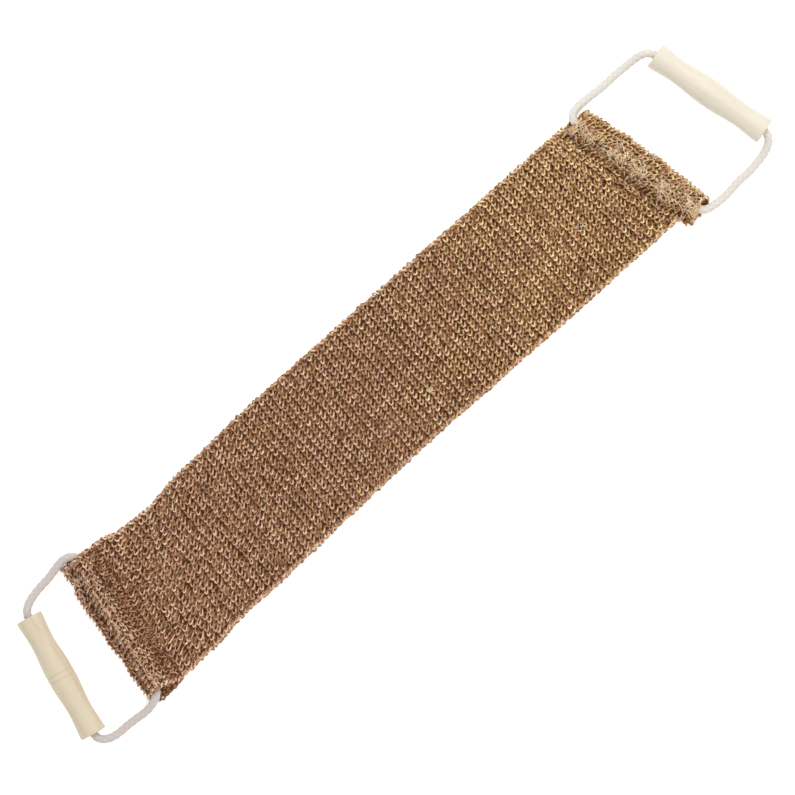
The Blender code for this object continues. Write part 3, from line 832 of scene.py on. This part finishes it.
def belt_surface(station, share):
    """Middle surface of the flat cloth at a station along and a share -0.5..0.5 across.

    Y runs between the two long edges; X is the station plus the row's slant times Y.
    Returns points, unit normals and the width there.
    """
    lower, upper = belt_edges(station)
    middle = (lower + upper) / 2
    y = middle + share * (upper - lower)
    x = station + eased(ROW_SLANT, station, 1) * (y - middle)
    ripple = 0.00018 * np.sin(31 * x + 17 * y) + 0.00014 * np.sin(83 * y - 47 * x)
    points = np.stack([x, y, BELT_MID_Z + ripple], -1)
    normals = np.zeros_like(points)
    normals[..., 2] = 1.0
    return points, normals, upper - lower


FOLD_GRID = (160, 61)
SEAM_WANDER = 0.0009


def hem_edges_at(end, travel):
    """Q of the hem's two edges at a share of the way round its fold."""
    return (eased(end["hem_edges"], travel, column) for column in (1, 2))


def fold_surface(end):
    """A function that gives the folded hem's middle surface, as belt_surface does.

    The fold's outline is a Catmull-Rom curve in P and Z at each of many places
    along Q, sampled evenly by length; between samples it is read bilinearly. Q runs
    between the hem's own two edges, which draw in and out on the way round.
    """
    rows, columns = FOLD_GRID
    across = np.linspace(-1, 1, columns)
    reach = through_three(end["end_reach"], across) + eased(end["rim_wander"], across, 1)
    unsteady = wander(1, 14, (across + 1) * 7)[0]
    seam = through_three(end["seam_reach"], across) + SEAM_WANDER * unsteady
    outline = []
    for share, offset, height in end["fold"]:
        p = share * (reach if share > 0 else seam) + offset
        outline.append(np.stack([p, np.full(columns, height)], -1))
    curve = catmull(np.array(outline), 24)
    step = np.linalg.norm(np.diff(curve, axis=0), axis=2)
    length = np.concatenate([np.zeros((1, columns)), step.cumsum(0)])
    grid = np.zeros((rows, columns, 2))
    for column in range(columns):
        at = np.linspace(0, length[-1, column], rows)
        for k in range(2):
            grid[:, column, k] = np.interp(at, length[:, column], curve[:, column, k])
    total = length[-1].mean()
    ahead = unit(np.gradient(grid, axis=0))

    def surface(travel, share):
        row = np.clip(travel / total, 0, 1) * (rows - 1)
        column = np.clip(share + 0.5, 0, 1) * (columns - 1)
        i = np.clip(row.astype(int), 0, rows - 2)
        j = np.clip(column.astype(int), 0, columns - 2)
        s, t = (row - i)[..., None], (column - j)[..., None]

        def read(table):
            low = table[i, j] * (1 - t) + table[i, j + 1] * t
            high = table[i + 1, j] * (1 - t) + table[i + 1, j + 1] * t
            return low * (1 - s) + high * s

        flat, way = read(grid), unit(read(ahead))
        low, high = hem_edges_at(end, travel / total)
        q = low + (share + 0.5) * (high - low)
        points = from_end(end, flat[..., 0], q, flat[..., 1])
        normals = end_direction(end, way[..., 1], 0 * q, -way[..., 0])
        return points, normals, high - low

    return surface, total


# What differs from loop to loop: a share of its size along, across and up, and a shift.
ALONG_UNREST, SIDE_UNREST, LIFT_UNREST = (0.08, 0.00042), (0.2, 0.0004), (0.12, 0.00014)
ROW_WAVES = 7  # slow waves of a whole row, where the cloth is loose
ROW_WAVE_REACH = 0.00035
YARN_THICKENING = 0.13
DEEPEST_SHADE = 0.14
STITCH_INSET = 0.0006  # from the selvedge to the outer stitches


def knit(name, surface, stations, looks, samples=STITCH_SAMPLES, sides=YARN_SIDES):
    """Rows of knitting: for stitch phase a, the yarn runs

    across = place + swell * sin(2a) - lean * cos(a), along = -reach * cos(a),
    lift = offset + depth * (2 * high - 1) with high = ((1 + cos(a + roll)) / 2) ** peak, so
    heads of loops stand high on one side and the bows between them low on the other,
    and each row's heads lie over the legs of the row before. The shade runs from 0
    at the lowest to 1 at the highest, less what the looks take off it.
    """
    rows = len(stations)
    reach, depth, swell, radius, unrest, lean, offset = (
        np.broadcast_to(looks[key], rows)[:, None]
        for key in ("reach", "depth", "swell", "radius", "unrest", "lean", "offset")
    )
    count = np.linspace(0, STITCHES, STITCHES * samples + 1)
    phase = 2 * np.pi * (count - 0.5)[None]
    crest = np.cos(phase)
    high = ((1 + np.cos(phase + LOOP_ROLL * np.sign(lean))) / 2) ** LOOP_PEAK

    def varied(curve, loop_unrest):
        changed, shifted = (part * unrest * wander(rows, STITCHES, count) for part in loop_unrest)
        return curve * (1 + changed) + shifted

    along = varied(-reach * crest, ALONG_UNREST)
    side = varied(swell * np.sin(2 * phase), SIDE_UNREST)
    lift = varied(depth * (2 * high - 1), LIFT_UNREST)
    waves = wander(rows, ROW_WAVES, count * ROW_WAVES / STITCHES)
    station = np.asarray(stations)[:, None] + along + ROW_WAVE_REACH * unrest ** 2 * waves
    width = surface(station, 0 * station)[2]
    inset = 2 * (SELVEDGE_INSET + STITCH_INSET) / width
    share = (count / STITCHES - 0.5)[None] * (1 - inset) + (side - lean * crest) / width
    points, normals, _ = surface(station, share)
    points = points + (offset + lift)[..., None] * normals
    thick = radius * (1 + YARN_THICKENING * wander(rows, STITCHES * 3, count * 3))
    points[..., 2] = np.maximum(points[..., 2], thick)
    # Painted shade: the yarn darkens towards its lowest points, where shade falls between the
    # loops.
    shade = DEEPEST_SHADE + (1 - DEEPEST_SHADE) * high
    shade = shade * looks["shade"](station, share)
    return yarns(name, points, normals, thick, sides, KNIT_YARN, shade)


SELVEDGE_INSET = 0.0014
SELVEDGE_LAY = 0.0088  # one strand's way once round the edge
SELVEDGE_SWING = 0.0012
SELVEDGE_DEEP = 0.0017
SELVEDGE_SAMPLES = 18
SELVEDGE_RADIUS = 0.0008
SELVEDGE_BEATS = 60  # places where its swing and thickness change


def selvedge(name, surface, start, stop, deep=SELVEDGE_DEEP):
    """Two yarns wound round each long edge: a circle across and through the cloth."""
    count = max(12, round((stop - start) / SELVEDGE_LAY * SELVEDGE_SAMPLES))
    travel = np.linspace(start, stop, count)
    side = np.array([-1, -1, 1, 1])[:, None]
    lead = np.array([0.0, 0.5, 0.0, 0.5])[:, None]
    phase = 2 * np.pi * (travel / SELVEDGE_LAY + lead)
    phase = phase + 0.5 * wander(4, 40, np.linspace(0, 40, count))
    travel = np.broadcast_to(travel, phase.shape)
    width = surface(travel, 0 * travel)[2]
    beats = np.linspace(0, SELVEDGE_BEATS, count)
    swing = SELVEDGE_SWING * (1 + 0.45 * wander(4, SELVEDGE_BEATS, beats))
    share = side * (0.5 - SELVEDGE_INSET / width) + swing * np.cos(phase) / width
    points, normals, _ = surface(travel, share)
    points = points + (deep * np.sin(phase * side))[..., None] * normals
    thick = SELVEDGE_RADIUS * (1 + 0.15 * wander(4, SELVEDGE_BEATS, beats))
    points[..., 2] = np.maximum(points[..., 2], thick)
    # Painted shade: the wound yarn darkens where it dips through the cloth.
    shade = 0.5 + 0.5 * np.sin(phase * side)
    return yarns(name, points, normals, thick, YARN_SIDES, KNIT_YARN, shade)


GROUND_HALF = 0.0004
GROUND_INSET = 0.0022
GROUND_COLUMNS = 40


def ground(name, surface, start, stop, step=0.003, sink=0.0017):
    """A dark core of the cloth, coloured as painted shade: its middle surface, given a small
    thickness.
    """
    rows = max(3, round((stop - start) / step) + 1)
    travel, share = np.meshgrid(
        np.linspace(start, stop, rows), np.linspace(-0.5, 0.5, GROUND_COLUMNS), indexing="ij",
    )
    width = surface(travel, 0 * travel)[2]
    points, normals, _ = surface(travel, share * (1 - 2 * GROUND_INSET / width))
    points = points - sink * normals
    return slab(name, points + GROUND_HALF * normals, points - GROUND_HALF * normals, SHADE_DARK_GROUND)


LOWEST_FIBRE = 0.0003


def fuzz(name, roots, ways, lengths, radius, material, curl=0.35, rings=7):
    """Loose fibres: from each root a quadratic arc along its way, bent by a random turn.

    path = root + length * (t * way + curl * (t^2 * bend + t^2 * (1 - t) / 2 * second)),
    thinning to 0.4 of its radius, with t from 0 to 1.
    """
    count = len(roots)
    t = np.linspace(0, 1, rings)[None, :, None]
    bend = DICE.normal(0, 1, (count, 1, 3)) * (1.0, 1.0, 0.35)
    second = DICE.normal(0, 1, (count, 1, 3)) * (1.0, 1.0, 0.3)
    reach = lengths[:, None, None]
    paths = roots[:, None] + reach * (t * ways[:, None] + curl * t ** 2 * bend
                                      + 0.5 * curl * t ** 2 * (1 - t) * second)
    paths[..., 2] = np.maximum(paths[..., 2], LOWEST_FIBRE)
    normals = np.broadcast_to(unit(DICE.normal(0, 1, (count, 1, 3)) + (0, 0, 1.2)), paths.shape)
    thick = radius * (1.1 - 0.7 * t[..., 0]) * DICE.uniform(0.7, 1.3, (count, 1))
    return yarns(name, paths, normals, thick, 4, material, np.ones(thick.shape))


STRAY_ROOT = 0.0016  # above the cloth's middle
STRAY_LENGTHS = (0.0015, 0.0046)
STRAY_RADIUS = 0.00009
EDGE_SHARE = 0.488


def stray_fibres(name, surface, start, stop, count, edge_count):
    """Short fibres standing off the loops, and more along the two long edges."""
    travel = DICE.uniform(start, stop, count + edge_count)
    share = DICE.uniform(-0.49, 0.49, count + edge_count)
    edge = np.where(share[count:] < 0, -1.0, 1.0)
    share[count:] = EDGE_SHARE * edge
    roots, normals, _ = surface(travel, share)
    roots = roots + STRAY_ROOT * normals
    turn = DICE.uniform(0, 2 * np.pi, len(roots))
    ways = np.stack([np.cos(turn), np.sin(turn), DICE.uniform(-0.1, 0.35, len(roots))], -1)
    ways[count:, 1] = edge * np.abs(ways[count:, 1])
    ways[count:, 2] *= 0.4
    lengths = DICE.uniform(*STRAY_LENGTHS, len(roots))
    lengths[count:] *= 0.8
    return fuzz(name, roots, unit(ways), lengths, STRAY_RADIUS, FIBRE)


SEAM_SHADOWS = ((BELT_STATIONS[0], 0.48, 0.0065), (BELT_STATIONS[1], 0.42, 0.006))


def seam_shadow(station, share):
    """Painted shadow in the valleys beside the two seams: 1 less two bell curves of station."""
    patches = 0.8 + 0.3 * np.sin(34 * share + 2 * np.sin(19 * share))
    return 1 - patches * sum(
        strength * np.exp(-((station - seam) / width) ** 2)
        for seam, strength, width in SEAM_SHADOWS
    )


STRETCH_STATIONS = (-0.1, -0.24)  # loops grow loose and long towards the left seam
SCRUNCH_STATIONS = (0.216, 0.228)  # and are drawn together towards the right one
CLOSER_STATIONS = (0.207, 0.219)
BACK_SAMPLES = 10
BACK_SIDES = 6
STRAYS_UP = 800  # over the whole belt
STRAYS_AT_EDGES = 900


def share_between(stations, span):
    """0 before a span of stations, rising evenly to 1 after it."""
    return np.clip((stations - span[0]) / (span[1] - span[0]), 0, 1)


def belt_section(title, start, stop, follow, stands_for):
    """One stretch of the belt: ground cloth, loops, their backs, selvedges and fibres."""
    rows = BELT_ROWS[(BELT_ROWS >= start) & (BELT_ROWS < stop)]
    stretch = share_between(rows, STRETCH_STATIONS)
    scrunch = share_between(rows, SCRUNCH_STATIONS)
    looks = dict(
        reach=0.003 + 0.0005 * stretch - 0.0005 * scrunch,
        depth=0.00195 - 0.0001 * stretch,
        swell=0.00118,
        radius=0.00071 - 0.00005 * stretch,
        unrest=0.9 + 0.9 * stretch + 0.8 * scrunch,
        lean=LOOP_LEAN,
        offset=0.0,
        shade=seam_shadow,
    )
    under = dict(looks, depth=-0.0003, offset=-0.00195, radius=0.00055, lean=-LOOP_LEAN)
    beneath = rows + 0.4 * ROW_PITCH
    loops = knit(f"knit_{title}", belt_surface, rows, looks)
    backs = knit(f"back_{title}", belt_surface, beneath, under, BACK_SAMPLES, BACK_SIDES)
    edges = selvedge(f"selvedge_{title}", belt_surface, start, stop)
    cloth = ground(f"ground_{title}", belt_surface, start, stop)
    share = (stop - start) / BELT_SPAN
    counts = round(STRAYS_UP * share), round(STRAYS_AT_EDGES * share)
    hairs = stray_fibres(f"fibres_{title}", belt_surface, start, stop, *counts)
    for piece in (loops, backs, edges, cloth, hairs):
        follow(piece)
    if stands_for:
        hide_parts(stands_for)


def rides(body):
    return lambda piece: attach(piece, body)


def bends():
    """Leaves a piece fixed where it is, its transform baked into its mesh."""
    return lambda piece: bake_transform(piece)


def belt_rows():
    """Stations of the rows: one pitch all along, drawn closer towards the right seam."""
    stations = [BELT_STATIONS[0] + ROW_PITCH / 2]
    while stations[-1] < BELT_STATIONS[1] - SCRUNCHED_PITCH:
        near = share_between(stations[-1], CLOSER_STATIONS)
        stations.append(stations[-1] + ROW_PITCH + (SCRUNCHED_PITCH - ROW_PITCH) * near)
    return np.array(stations)


BELT_ROWS = belt_rows()
far_left, near_left, near_right, far_right = BEND_STATIONS
CUTS = (
    BELT_STATIONS[0], far_left - BEND_BEYOND, (far_left + near_left) / 2, 0.0,
    (near_right + far_right) / 2, far_right + BEND_BEYOND, BELT_STATIONS[1],
)
SECTIONS = (
    ("left_end", rides("left_outer"), "belt_left_outer"),
    ("left_bend_outer", bends(), "belt_left_inner"),
    ("left_bend_inner", bends(), "belt_centre"),
    ("right_bend_inner", bends(), None),
    ("right_bend_outer", bends(), "belt_right_inner"),
    ("right_end", rides("right_outer"), "belt_right_outer"),
)
for (title, follow, stands_for), start, stop in zip(SECTIONS, CUTS[:-1], CUTS[1:]):
    belt_section(title, start, stop, follow, stands_for)


# ---- hems

def on_fold(end, surface, total, p, q):
    """Points of the hem's upper layer at P and Q: the last place on the fold with that P.

    The upper layer's P falls as travel grows, so travel is read off backwards.
    """
    travel = np.linspace(0.55 * total, total, 200)
    points, _, _ = surface(travel, 0 * travel)
    x, y = end_place(end)
    cos, sin = math.cos(end["turn"]), math.sin(end["turn"])
    line = (points[:, 0] - x) * cos + (points[:, 1] - y) * sin
    at = np.interp(-p, -line, travel)
    low, high = hem_edges_at(end, at / total)
    share = np.clip((q - low) / (high - low) - 0.5, -0.49, 0.49)
    points, normals, _ = surface(at, share)
    return points, normals


SEAM_HALF = 0.056
SEAM_PITCH = 0.0047
SEAM_SWING = 0.0026  # along P, either side of the edge
SEAM_SWING_UP = 0.0023
SEAM_Z = 0.0035
SEAM_RADIUS = 0.00055
SEAM_SAMPLES = 480
# Painted shade: the seam yarn is darkened like the valley it lies in.
SEAM_SHADE = 0.3


def overcast(end):
    """Seam yarn whipped over the hem's inner edge: a helix along Q round that edge."""
    name = end["name"]
    q = np.linspace(-SEAM_HALF, SEAM_HALF, SEAM_SAMPLES)
    phase = 2 * np.pi * q / SEAM_PITCH + 1.1 * wander(1, 24, np.linspace(0, 24, len(q)))[0]
    swing = SEAM_SWING * (1 + 0.3 * wander(1, 30, np.linspace(0, 30, len(q)))[0])
    p = swing * np.cos(phase) - through_three(end["seam_reach"], q / SEAM_HALF)
    path = from_end(end, p, q, SEAM_Z + SEAM_SWING_UP * np.sin(phase))[None]
    normals = np.broadcast_to((0.0, 0.0, 1.0), path.shape)
    thick = np.full((1, len(q)), SEAM_RADIUS)
    shade = np.full((1, len(q)), SEAM_SHADE)
    piece = yarns(f"seam_yarn_{name}", path, normals, thick, YARN_SIDES, KNIT_YARN, shade)
    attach(piece, f"{name}_outer")
    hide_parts(f"hem_stitching_{name}")


def hem(end):
    """The folded end of the belt, knitted round its fold, on the outer bend's body."""
    surface, total = fold_surface(end)

    def crease_shadow(travel, share):
        """Painted shade in the hem's crease and in the valley at its inner edge, in patches along
        them.
        """
        patches = 0.85 + 0.25 * np.sin(31 * share + 2.5 * np.sin(17 * share))
        return 1 - patches * (1 - eased(end["hem_shade"], travel / total, 1))

    name = end["name"]
    count = round(total / end["hem_pitch"])
    rows = (np.arange(count) + 0.5) * total / count
    looks = dict(
        reach=0.0028, depth=0.00115, swell=0.0011, radius=0.00063, unrest=1.3,
        lean=end["side"] * 0.6 * LOOP_LEAN, offset=0.0, shade=crease_shadow,
    )
    loops = knit(f"hem_knit_{name}", surface, rows, looks)
    edges = selvedge(f"hem_selvedge_{name}", surface, 0.0, total, deep=0.001)
    cloth = ground(f"hem_ground_{name}", surface, 0.0, total, step=0.0012, sink=0.0009)
    hairs = stray_fibres(f"hem_fibres_{name}", surface, 0.45 * total, total, 260, 60)
    whiskers = raw_edge(end, surface, total)
    pieces = [loops, edges, cloth, hairs, *whiskers]
    for piece in pieces:
        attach(piece, f"{name}_outer")
    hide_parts(f"hem_{name}")
    pieces.remove(cloth)
    overcast(end)


def raw_edge(end, surface, total):
    """The cut edge's fibres combed over the hem, and strands lying along its crest."""
    made = []
    for title, count, p_range, q_range, length, radius, way, spread, yarn in end["whiskers"]:
        q_low, q_high, tufts = q_range
        p = DICE.uniform(*p_range, count)
        q = DICE.uniform(q_low, q_high, count)
        if tufts:
            middles = np.linspace(q_low, q_high, tufts) + DICE.normal(0, 0.003, tufts)
            q = middles[DICE.integers(0, tufts, count)] + DICE.normal(0, 0.0035, count)
        roots, normals = on_fold(end, surface, total, p, q)
        roots = roots + normals * DICE.uniform(0.001, 0.0019, count)[:, None]
        turn = way + DICE.normal(0, spread, count) + np.pi * (DICE.uniform(0, 1, count) < 0.3)
        ways = end_direction(end, np.cos(turn), np.sin(turn), DICE.uniform(-0.12, 0.1, count))
        lengths = length * DICE.uniform(0.4, 1.2, count)
        material = {"pale": RAW_YARN, "marl": KNIT_YARN, "fibre": FIBRE}[yarn]
        curl = 0.12 if yarn == "pale" else 0.25
        name = f"{title}_{end['name']}"
        made.append(fuzz(name, roots, unit(ways), lengths, radius, material, curl, 8))
    return made


hem(LEFT)
hem(RIGHT)


# ---- flecks in the yarn

def fleck(name, place, spread, count, length, radius, material, body):
    """A knot of fibres caught in one stitch: roots scattered normally round a place."""
    roots = np.array(place) + DICE.normal(0, 1, (count, 3)) * spread
    turn = DICE.normal(-0.3, 0.7, count)
    ways = np.stack([np.cos(turn), np.sin(turn), DICE.uniform(0, 0.2, count)], -1)
    lengths = length * DICE.uniform(0.5, 1.2, count)
    piece = fuzz(name, roots, unit(ways), lengths, radius, material)
    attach(piece, body)


fleck(
    "white_fleck", place=(0.1925, -0.0075, 0.0052), spread=(0.0022, 0.0008, 0.0002), count=10,
    length=0.0028, radius=0.00014, material=WHITE_FIBRE, body="right_outer",
)
fleck(
    "pale_slub", place=(0.0215, -0.0233, 0.005), spread=(0.0013, 0.001, 0.0001), count=38,
    length=0.0022, radius=0.00032, material=RAW_YARN, body="belt_middle",
)
